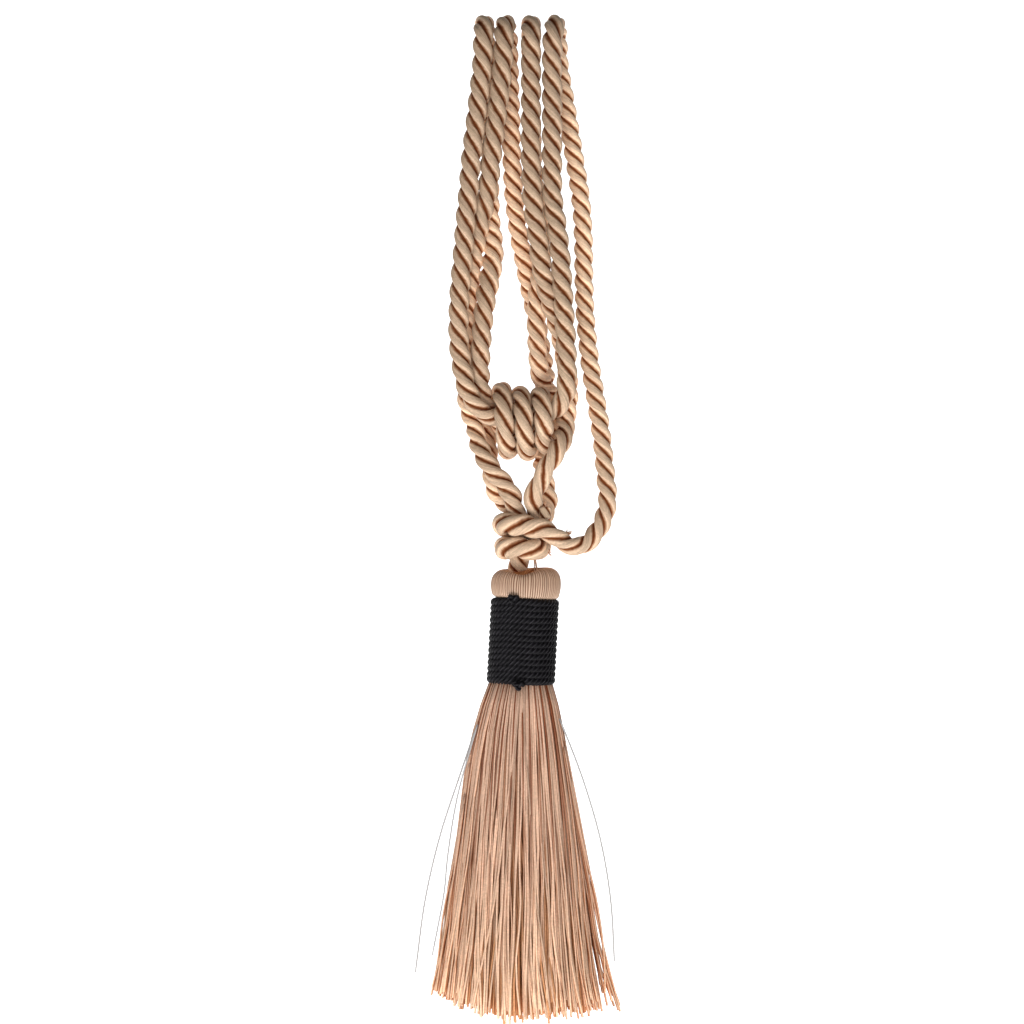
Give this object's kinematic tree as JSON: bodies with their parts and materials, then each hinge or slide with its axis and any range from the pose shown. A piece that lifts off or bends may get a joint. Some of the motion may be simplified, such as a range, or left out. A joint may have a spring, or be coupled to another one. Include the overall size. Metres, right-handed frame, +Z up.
{
  "type": "curtain tieback",
  "caption": "Rope curtain tieback: loops of twisted rope bound by a wrap, a round knot and one long tassel with a dark corded collar.",
  "frame": {"origin": "where the four top bends rest on the hook that holds them up", "axes": "+Z up along the hanging tieback, the front faces -Y"},
  "size_m": [0.0989, 0.0629, 0.5012],
  "materials": {
    "rope": "satin twisted rope",
    "thread": "soft tassel thread",
    "dark_cord": "satin twisted cord"
  },
  "bodies": {
    "root": {"loop_rope": "rope", "wrap_rope": "rope", "neck_rope": "rope", "rope_end": "rope", "tassel": "thread", "collar": "dark_cord", "collar_knot_top": "dark_cord", "collar_knot_bottom": "dark_cord"}
  },
  "joints": []
}
